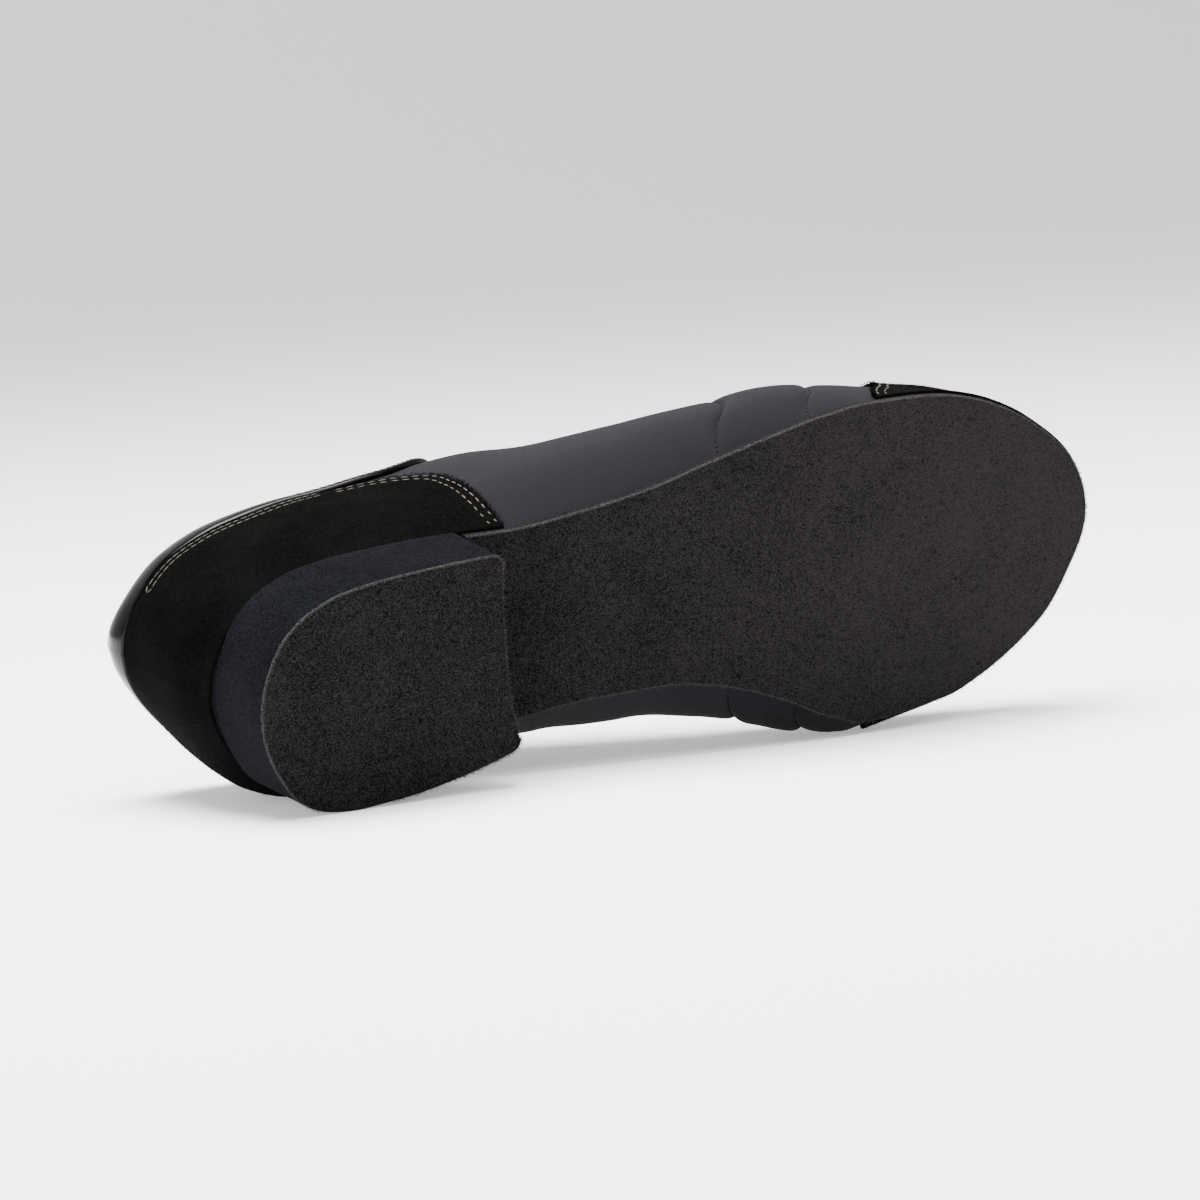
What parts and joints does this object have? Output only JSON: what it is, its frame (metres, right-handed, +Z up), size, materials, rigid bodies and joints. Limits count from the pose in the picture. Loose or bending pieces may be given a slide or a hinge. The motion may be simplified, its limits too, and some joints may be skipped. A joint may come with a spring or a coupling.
{
  "type": "ballroom dance shoe",
  "caption": "Right ballroom dance shoe lying on its inner side: neoprene upper, suede counter and toe cap, patent collar, suede sole with a low block heel, straight lacing.",
  "frame": {"origin": "bottom centre of the bounding box: the floor under the middle of the shoe as it lies on its inner side", "axes": "+X from heel to toe, +Z up from the floor, -Y the way that the sole faces"},
  "size_m": [0.291, 0.1114, 0.1046],
  "materials": {
    "neoprene": "knit-faced neoprene, matt",
    "upper_suede": "black suede, matt",
    "patent": "black patent, high gloss",
    "sole_suede": "brushed chrome suede, matt",
    "lining": "brushed textile",
    "lace": "round waxed cord"
  },
  "bodies": {
    "root": {"upper": "neoprene", "heel_counter": "upper_suede", "toe_cap": "upper_suede", "collar_facing": "patent", "tongue": "lining", "outsole": "sole_suede", "heel_block": "sole_suede", "heel_top_piece": "sole_suede", "insole": "lining", "lace_bar_1": "lace", "lace_bar_2": "lace", "lace_bar_3": "lace", "lace_bar_4": "lace", "lace_bar_5": "lace"}
  },
  "joints": []
}
